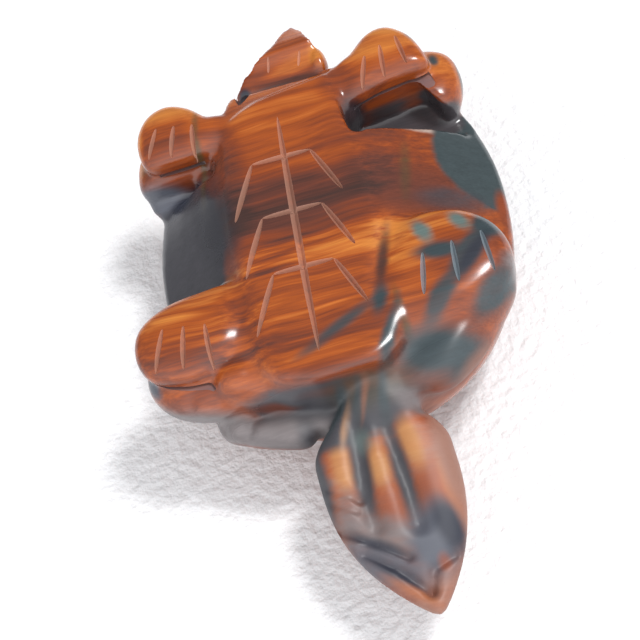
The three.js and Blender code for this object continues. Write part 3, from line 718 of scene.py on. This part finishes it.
# where other colours run through the stone; a few rows paint highlights, a sheen and shade instead, as marked
zones = (
    {"tone": "rose", "centre": (0.6, -29, 10), "half": (8, 10.5, 5), "turn": 0, "soft": 0.3, "share": 0.5},
    {"tone": "rose", "centre": (2.6, -38.6, 9), "half": (4, 3, 3), "turn": 30, "soft": 0.5, "share": 0.8},
    {"tone": "rust", "centre": (0.1, -29.8, 11.6), "half": (1.2, 2.2, 3), "turn": 0, "soft": 0.6, "share": 0.6},
    {"tone": "rust", "centre": (4, -29.6, 11.6), "half": (1.5, 2.8, 3), "turn": 0, "soft": 0.6, "share": 0.7},
    {"tone": "honey", "centre": (-3.7, -24.9, 11.6), "half": (1, 2.4, 3), "turn": 0, "soft": 0.5, "share": 0.75},
    {"tone": "honey", "centre": (-0.5, -25.9, 12), "half": (1, 2, 3), "turn": 0, "soft": 0.5, "share": 0.75},
    {"tone": "honey", "centre": (2.9, -24.2, 12), "half": (0.9, 2.6, 3), "turn": 10, "soft": 0.5, "share": 0.75},
    {"tone": "honey", "centre": (5.4, -29.2, 11), "half": (0.5, 2.4, 3), "turn": 6, "soft": 0.6, "share": 0.6},
    {"tone": "paleGrey", "centre": (-4, -29.2, 11), "half": (1.2, 1.8, 3), "turn": 0, "soft": 0.5, "share": 0.7},
    {"tone": "orange", "centre": (5.6, -29.4, 10.6), "half": (1.3, 2.6, 3), "turn": 10, "soft": 0.5, "share": 0.6},
    # painted shade: a dark line along the groove between the tail and the belly plate
    {"tone": "darkMaroon", "centre": (-1.6, 17.9, 15), "half": (5, 0.3, 1.2), "turn": -5, "soft": 0.5},
    # painted highlight along the crest of the right wing, over a paler edge of the stone
    {"tone": "cream", "centre": (10.4, 8.6, 14.2), "half": (5.4, 0.36, 1.8), "turn": -14, "soft": 0.7, "share": 0.8},
    {"tone": "slate", "centre": (-14, 1.6, 11.6), "half": (5.4, 9, 7), "turn": 3, "soft": 0.08},
    {"tone": "darkSlate", "centre": (-10.4, 2, 12), "half": (2.3, 7.6, 6), "turn": 3, "soft": 0.5},
    {"tone": "blueGrey", "centre": (-16.6, 10.4, 12), "half": (3, 1.8, 2), "turn": 12, "soft": 0.4},
    {"tone": "navy", "centre": (-12.4, 9.3, 12), "half": (3.4, 1.1, 2.4), "turn": 22, "soft": 0.5},
    {"tone": "olive", "centre": (-11.1, 11.5, 16), "half": (0.34, 4.4, 6), "turn": -6, "soft": 0.8, "share": 0.8},
    {"tone": "darkSlate", "centre": (-17.8, 12.6, 15), "half": (1.2, 1.6, 0.9), "turn": 0, "soft": 0.5, "share": 0.7},
    {"tone": "maroon", "centre": (9, 0.4, 14), "half": (4.4, 2.8, 5), "turn": 0, "soft": 0.6, "share": 0.8},
    {"tone": "green", "centre": (17.8, 5.2, 11.6), "half": (6.1, 6.8, 11), "turn": 8, "soft": 0.07},
    # dark stone tone with painted shade on the left wall of the recess under the hind right foot
    {"tone": "darkSlate", "centre": (4.9, 12.2, 13.9), "half": (1.5, 2.2, 3), "turn": 0, "soft": 0.4, "share": 0.95},
    {"tone": "slate", "centre": (12, -0.6, 13.4), "half": (4, 1.4, 3), "turn": -6, "soft": 0.5, "share": 0.7},
    {"tone": "rust", "centre": (17.6, -1.6, 11.6), "half": (1.1, 2.6, 2), "turn": 4, "soft": 0.3},
    {"tone": "darkTeal", "centre": (10, 11.2, 11.6), "half": (5.6, 2.6, 2.5), "turn": 8, "soft": 0.08, "power": 5},
    {"tone": "deepTeal", "centre": (14.2, 16.4, 14.2), "half": (0.5, 0.8, 1.6), "turn": 0, "soft": 0.6},
    {"tone": "green", "centre": (12.8, 19.4, 16), "half": (0.8, 2, 2), "turn": 28, "soft": 0.5, "share": 0.7},
    {"tone": "green", "centre": (17, 14.5, 11.6), "half": (0.9, 4, 2.6), "turn": 5, "soft": 0.4},
    {"tone": "olive", "centre": (8.7, 3, 14), "half": (0.5, 3, 5), "turn": -10, "soft": 0.8, "share": 0.6},
    {"tone": "deepTeal", "centre": (10, -8.2, 17.3), "half": (2.3, 0.95, 3), "turn": -8, "soft": 0.5},
    {"tone": "deepTeal", "centre": (14.8, -6.4, 16.6), "half": (1.7, 1.2, 4), "turn": -75, "soft": 0.45},
    {"tone": "deepTeal", "centre": (12.6, -9.2, 16.9), "half": (3.4, 1.25, 4), "turn": 49, "soft": 0.35, "share": 0.95},
    {"tone": "navy", "centre": (12.8, -9.6, 16.9), "half": (2.6, 0.7, 4), "turn": 49, "soft": 0.6, "share": 0.7},
    {"tone": "deepTeal", "centre": (9, -13.1, 16.1), "half": (2.7, 1.05, 4), "turn": 50, "soft": 0.4, "share": 0.95},
    {"tone": "deepTeal", "centre": (14, -12.8, 14.4), "half": (3.8, 1.1, 3.4), "turn": 46, "soft": 0.4, "share": 0.95},
    # paler stone with a painted highlight on the right shoulder of the front right foot
    {"tone": "paleGrey", "centre": (15.8, -10.2, 15), "half": (1, 0.8, 2), "turn": 50, "soft": 0.5, "share": 0.7},
    {"tone": "teal", "centre": (8.8, -5.4, 17.3), "half": (1.5, 0.75, 3), "turn": -70, "soft": 0.6},
    {"tone": "teal", "centre": (12.5, -5.2, 17.2), "half": (1.3, 0.75, 3), "turn": -60, "soft": 0.6},
    {"tone": "olive", "centre": (5.2, -14.2, 16.3), "half": (0.4, 3, 3), "turn": 3, "soft": 0.8, "share": 0.7},
    {"tone": "deepTeal", "centre": (7.6, -17.2, 13.4), "half": (4.8, 2.8, 3.8), "turn": -12, "soft": 0.35},
    {"tone": "pink", "centre": (10.6, -18.2, 11.6), "half": (2.6, 0.9, 2), "turn": 30, "soft": 0.5, "share": 0.7},
    {"tone": "paleGrey", "centre": (6.6, -19, 12), "half": (2.6, 0.8, 2), "turn": 12, "soft": 0.6, "share": 0.7},
    # painted shade: the dark line in the shallow crease at the left of the front right foot
    {"tone": "darkMaroon", "centre": (4.6, -7.4, 16.6), "half": (0.5, 3.4, 5), "turn": -16, "soft": 0.7, "share": 0.9},
    {"tone": "deepTeal", "centre": (3.5, -11.8, 16.6), "half": (0.7, 1.6, 4), "turn": -20, "soft": 0.7},
    {"tone": "deepTeal", "centre": (-0.8, -13.6, 17.3), "half": (3.7, 0.6, 4), "turn": 27, "soft": 0.7, "share": 0.9},
    {"tone": "deepTeal", "centre": (3.6, -15.6, 16.6), "half": (0.6, 3.4, 3), "turn": -24, "soft": 0.6},
    {"tone": "slate", "centre": (-4.6, -19.8, 12.6), "half": (9.8, 3.6, 4.2), "turn": 0, "soft": 0.2},
    {"tone": "paleGrey", "centre": (-9, -19.4, 10.6), "half": (6, 1.6, 1.6), "turn": -12, "soft": 0.5},
    {"tone": "maroon", "centre": (-8.4, -17.4, 12.4), "half": (2.2, 0.8, 1), "turn": 0, "soft": 0.6},
    {"tone": "maroon", "centre": (-1, -18.4, 14.4), "half": (4, 0.6, 0.9), "turn": -4, "soft": 0.7, "share": 0.6},
    {"tone": "paleGrey", "centre": (-16.4, -16.8, 10.8), "half": (6, 2.2, 2.6), "turn": -24, "soft": 0.35},
    {"tone": "blueGrey", "centre": (-20.2, -12.6, 14), "half": (0.9, 1.6, 1), "turn": 30, "soft": 0.5},
    {"tone": "olive", "centre": (0.4, -18.8, 13.4), "half": (4, 1.8, 3), "turn": 0, "soft": 0.5, "share": 0.5},
    {"tone": "honey", "centre": (-2.6, -21.2, 12.8), "half": (1.8, 0.4, 3), "turn": 70, "soft": 0.6, "share": 0.6},
    {"tone": "pink", "centre": (-0.5, -19.8, 13.2), "half": (2.2, 0.45, 3), "turn": 62, "soft": 0.6, "share": 0.6},
    {"tone": "deepTeal", "centre": (-3.2, -19.6, 12.6), "half": (3.6, 0.5, 3), "turn": 52, "soft": 0.6, "share": 0.9},
    {"tone": "deepTeal", "centre": (-1.3, -20.6, 13), "half": (3.2, 0.45, 3), "turn": 68, "soft": 0.6, "share": 0.9},
    {"tone": "deepTeal", "centre": (1.6, -19.9, 13), "half": (3.4, 0.5, 3), "turn": 78, "soft": 0.6, "share": 0.9},
    {"tone": "paleGrey", "centre": (4, -20.7, 12.6), "half": (2, 0.9, 2.4), "turn": -30, "soft": 0.6, "share": 0.8},
    {"tone": "slate", "centre": (-2.1, -26.2, 11.8), "half": (0.9, 6.8, 3), "turn": -2, "soft": 0.5},
    {"tone": "slate", "centre": (1.6, -27.8, 11.8), "half": (0.8, 6.4, 3), "turn": 4, "soft": 0.5},
    {"tone": "slate", "centre": (-6.4, -25.6, 10.4), "half": (1.2, 7.4, 2.4), "turn": 0, "soft": 0.5},
    {"tone": "teal", "centre": (-1.4, -23.2, 12.5), "half": (0.8, 1.2, 2), "turn": 10, "soft": 0.7, "share": 0.6},
    {"tone": "paleGrey", "centre": (-1.6, -32.2, 10.6), "half": (4.4, 1.6, 4), "turn": -24, "soft": 0.5, "share": 0.8},
    {"tone": "blueGrey", "centre": (-2, -34.8, 10), "half": (4.4, 1.6, 4), "turn": -34, "soft": 0.4, "share": 0.9},
    {"tone": "navy", "centre": (-2.2, -32.8, 10.4), "half": (3.6, 0.5, 3), "turn": -34, "soft": 0.6, "share": 0.9},
    {"tone": "navy", "centre": (-1.1, -35.6, 10), "half": (3.4, 0.5, 3), "turn": -42, "soft": 0.6, "share": 0.9},
    {"tone": "blueGrey", "centre": (3, -33.6, 10), "half": (2.4, 3.4, 4), "turn": -10, "soft": 0.45},
    {"tone": "navy", "centre": (4.6, -32.6, 9.8), "half": (1.2, 2.6, 3), "turn": 14, "soft": 0.5},
    {"tone": "orange", "centre": (3.4, -35.8, 9.5), "half": (0.6, 0.8, 2), "turn": 0, "soft": 0.6, "share": 0.6},
    {"tone": "gold", "centre": (0, -37.6, 9), "half": (2.6, 0.4, 2), "turn": -40, "soft": 0.7, "share": 0.5},
    # painted sheen: a pale pink stripe along the right side of the head
    {"tone": "rose", "centre": (6, -26.6, 10.6), "half": (1, 6, 3), "turn": 4, "soft": 0.6},
    {"tone": "navy", "centre": (-5.5, 17.8, 14.5), "half": (0.8, 1.6, 2), "turn": 0, "soft": 0.3},
    {"tone": "paleGrey", "centre": (-7.8, 15.4, 14.4), "half": (1, 1.4, 2), "turn": 10, "soft": 0.6, "share": 0.6},
)


def zoneShare(points, centre, half, turn, soft=0.5, power=2):
    # 1 in the middle of a round region, 0 outside its soft border
    x, y, z = (points - np.array(centre)).T
    cosine, sine = math.cos(math.radians(turn)), math.sin(math.radians(turn))
    turned = np.abs([(x * cosine + y * sine) / half[0], (y * cosine - x * sine) / half[1], z / half[2]])
    away = (turned ** power).sum(axis=0) ** (1 / power)
    return 1 - ease(away, 1 - soft, 1 + soft)


# parts that the polish hardly reached
dull = (
    {"centre": (0.5, -29.5, 10), "half": (10, 12.5, 8), "turn": 0, "soft": 0.15},
    {"centre": (-2, -19.6, 12), "half": (13, 2.6, 4.6), "turn": 0, "soft": 0.3},
    {"centre": (8, -18, 12), "half": (6, 2.4, 3.4), "turn": 20, "soft": 0.4},
)


def addField(stone, name, kind, key, values):
    field = stone.data.attributes.new(name, kind, "POINT")
    field.data.foreach_set(key, np.ascontiguousarray(values, dtype=np.float32).ravel())


def layColours(stone):
    # the fibres' warmth and the tints over them, painted highlights and shade among them, kept on the stone's points
    points = readPoints(stone)
    fibres = np.zeros((len(points), 3))
    for region in warmth:
        share = zoneShare(points, region["centre"], region["half"], region["turn"])
        fibres[:, 0] += share * region["shift"]
        fibres[:, 1] += share * region.get("vary", 0)
    tint, cover = np.zeros((len(points), 3)), np.zeros(len(points))
    for zone in zones:
        share = zoneShare(points, zone["centre"], zone["half"], zone["turn"], zone["soft"], zone.get("power", 2))
        share = share * zone.get("share", 1)
        below = cover * (1 - share)
        cover = below + share
        weight = np.divide(share, cover, out=np.zeros_like(share), where=cover > 0)[:, None]
        tint += (np.array(tones[zone["tone"]][:3]) - tint) * weight
    fibres[:, 2] = cover
    addField(stone, "fibres", "FLOAT_VECTOR", "vector", fibres)
    dullness = np.max([zoneShare(points, **part) for part in dull], axis=0)
    addField(stone, "tint", "FLOAT_COLOR", "color", np.column_stack([tint, dullness]))


def buildStoneGroup(fibreGroup):
    tree, _, out = newGroup("tigersEye", {}, {"Color": "Color"})
    fibre = addNode(tree, "Group", node_tree=fibreGroup)
    band, streak, hair = (fibre.outputs[key] for key in ("band", "streak", "hair"))
    field = addNode(tree, "Attribute", attribute_name="fibres")
    mood = addNode(tree, "SeparateXYZ", {"Vector": field.outputs["Vector"]})
    tint = addNode(tree, "Attribute", attribute_name="tint").outputs["Color"]

    vary = math2(tree, "ADD", band, math2(tree, "MULTIPLY", streak, 0.8))
    strength = math2(tree, "ADD", mood.outputs["Y"], grain["contrast"])
    warm = math2(tree, "ADD", math2(tree, "MULTIPLY", vary, strength), mood.outputs["X"])
    warm = math2(tree, "ADD", warm, math2(tree, "MULTIPLY", hair, grain["hairContrast"]))
    ramp = addNode(tree, "ValToRGB", {"Fac": math2(tree, "ADD", warm, 0.5)})
    stops = ((0.12, "darkMaroon"), (0.28, "maroon"), (0.46, "rust"), (0.62, "orange"), (0.78, "gold"),
             (0.95, "brightGold"))
    while len(ramp.color_ramp.elements) < len(stops):
        ramp.color_ramp.elements.new(0.5)
    for element, (position, tone) in zip(ramp.color_ramp.elements, stops):
        element.position = position
        element.color = tones[tone]

    # the borders of the tints fray along the fibres
    cover = mood.outputs["Z"]
    border = math2(tree, "MULTIPLY", cover, math2(tree, "SUBTRACT", 1.0, cover))
    frayed = addNode(tree, "Math", {
        0: cover, 1: math2(tree, "MULTIPLY", math2(tree, "MULTIPLY", border, vary), grain["fray"] * 4),
    }, operation="ADD", use_clamp=True)
    colour = mixTones(tree, frayed.outputs[0], ramp.outputs[0], tint)
    shown = math2(tree, "MINIMUM", math2(tree, "MULTIPLY", strength, 2 * grain["lightness"]), grain["lightness"])
    lightness = math2(tree, "MULTIPLY", math2(tree, "ADD", streak, hair), shown)
    colour = mixTones(tree, 1.0, colour, math2(tree, "ADD", lightness, 1.0), "MULTIPLY")
    tree.links.new(colour, out["Color"])
    return tree


def buildFinish(name, stoneGroup, roughness, dust, dustTone=(0.6, 0.32, 0.23, 1)):
    # the polished stone, or with dust the paler face that a wheel leaves
    material = newMaterial(name)
    tree = material.node_tree
    shader = tree.nodes["Principled BSDF"]
    colour = addNode(tree, "Group", node_tree=stoneGroup).outputs["Color"]
    if dust:
        colour = mixTones(tree, dust, colour, dustTone)
    tree.links.new(colour, shader.inputs["Base Color"])
    dullness = addNode(tree, "Attribute", attribute_name="tint").outputs["Alpha"]
    spread = math2(tree, "MULTIPLY", dullness, 0.5 - roughness)
    tree.links.new(math2(tree, "ADD", spread, roughness), shader.inputs["Roughness"])
    shader.inputs["IOR"].default_value = 1.54
    return material


stoneGroup = buildStoneGroup(buildFibreGroup())
polishedStone = buildFinish("polishedTigersEye", stoneGroup, 0.2, 0)
groundStone = buildFinish("groundTigersEye", stoneGroup, 0.45, 0.5)
groundBlueStone = buildFinish("groundBlueTigersEye", stoneGroup, 0.45, 0.6, (0.3, 0.36, 0.4, 1))
sawnStone = buildFinish("sawnTigersEye", stoneGroup, 0.4, 0.6, (0.13, 0.11, 0.12, 1))
print("stone finishes")

turtle = buildBody()
turtle.data.materials.clear()
turtle.data.materials.append(polishedStone)
cutLines(turtle, groundStone, groundBlueStone, sawnStone)
layColours(turtle)
bpy.ops.object.select_all(action="DESELECT")
turtle.select_set(True)
bpy.context.view_layer.objects.active = turtle
bpy.ops.object.shade_smooth_by_angle(angle=math.radians(38))
turtle.data.transform(Matrix.Translation(rimMiddle) @ Matrix.Scale(metre, 4))
turtle.data.update()
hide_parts("turtle_carving")
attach(turtle, "root")
print("turtle", sum(len(face.vertices) - 2 for face in turtle.data.polygons), "triangles")


# floor, light and camera

studio = {
    "azimuth": 8, "elevation": 57, "roll": 21.5, "distance": 190, "lens": 106.875,
    "aim": (-1.46, -7.61), "rimHeight": 11,
    "floorTone": (0.8, 0.8, 0.81, 1), "foamScale": 900, "foamHeight": 0.35,
    "worldTone": (0.97, 0.98, 1, 1), "worldBack": 0.3, "worldFront": 2.1, "worldTurn": 0.6,
    "sunTurn": 73, "sunLift": 62, "sunStrength": 2.1, "sunAngle": 14,
}


def buildFloor():
    floor = addShape("floor", bpy.ops.mesh.primitive_plane_add, size=1.6)
    floor.location = (0, 0, cadLow.z)
    foam = newMaterial("floorFoam")
    tree = foam.node_tree
    shader = tree.nodes["Principled BSDF"]
    shader.inputs["Base Color"].default_value = studio["floorTone"]
    shader.inputs["Roughness"].default_value = 0.7
    coordinates = addNode(tree, "TexCoord")
    bumps = addNode(tree, "TexNoise", {"Vector": coordinates.outputs["Object"], "Scale": studio["foamScale"], "Detail": 3})
    relief = addNode(tree, "Bump", {"Height": bumps.outputs["Fac"], "Distance": studio["foamHeight"] * metre})
    tree.links.new(relief.outputs["Normal"], shader.inputs["Normal"])
    floor.data.materials.append(foam)


def buildWorld():
    # the window side, in front of the carving, is brighter than the back of the room
    world = bpy.data.worlds.new("studio")
    world.use_nodes = True
    tree = world.node_tree
    sky = tree.nodes["Background"]
    sky.inputs["Color"].default_value = studio["worldTone"]
    towards = addNode(tree, "SeparateXYZ", {"Vector": addNode(tree, "TexCoord").outputs["Generated"]})
    strength = addNode(tree, "MapRange", {
        "Value": towards.outputs["Y"], "From Min": -1, "From Max": studio["worldTurn"],
        "To Min": studio["worldFront"], "To Max": studio["worldBack"],
    })
    tree.links.new(strength.outputs[0], sky.inputs["Strength"])
    bpy.context.scene.world = world


def buildSun():
    bpy.ops.object.light_add(type="SUN")
    sun = bpy.context.object
    sun.data.energy = studio["sunStrength"]
    sun.data.angle = math.radians(studio["sunAngle"])
    turn, lift = math.radians(studio["sunTurn"]), math.radians(studio["sunLift"])
    toSun = Vector((math.sin(turn) * math.cos(lift), math.cos(turn) * math.cos(lift), math.sin(lift)))
    sun.rotation_euler = toSun.to_track_quat("Z", "Y").to_euler()


def buildCamera():
    azimuth, elevation, roll = (math.radians(studio[key]) for key in ("azimuth", "elevation", "roll"))
    back = Vector((math.sin(azimuth) * math.cos(elevation), -math.cos(azimuth) * math.cos(elevation),
                   math.sin(elevation)))
    level = Vector((math.cos(azimuth), math.sin(azimuth), 0))
    above = back.cross(level)
    right = math.cos(roll) * level - math.sin(roll) * above
    up = math.cos(roll) * above + math.sin(roll) * level
    aim = Vector((0, 0, studio["rimHeight"])) + studio["aim"][0] * right + studio["aim"][1] * up
    eye = rimMiddle + (aim + studio["distance"] * back) * metre
    camera = bpy.data.objects.new("camera", bpy.data.cameras.new("camera"))
    bpy.context.scene.collection.objects.link(camera)
    camera.data.lens = studio["lens"]
    camera.data.sensor_width = 36
    camera.data.clip_start = 0.01
    camera.matrix_world = Matrix.Translation(eye) @ Matrix((right, up, back)).transposed().to_4x4()
    bpy.context.scene.camera = camera


buildFloor()
buildWorld()
buildSun()
buildCamera()
bpy.context.scene.view_settings.view_transform = "Standard"
print("studio")
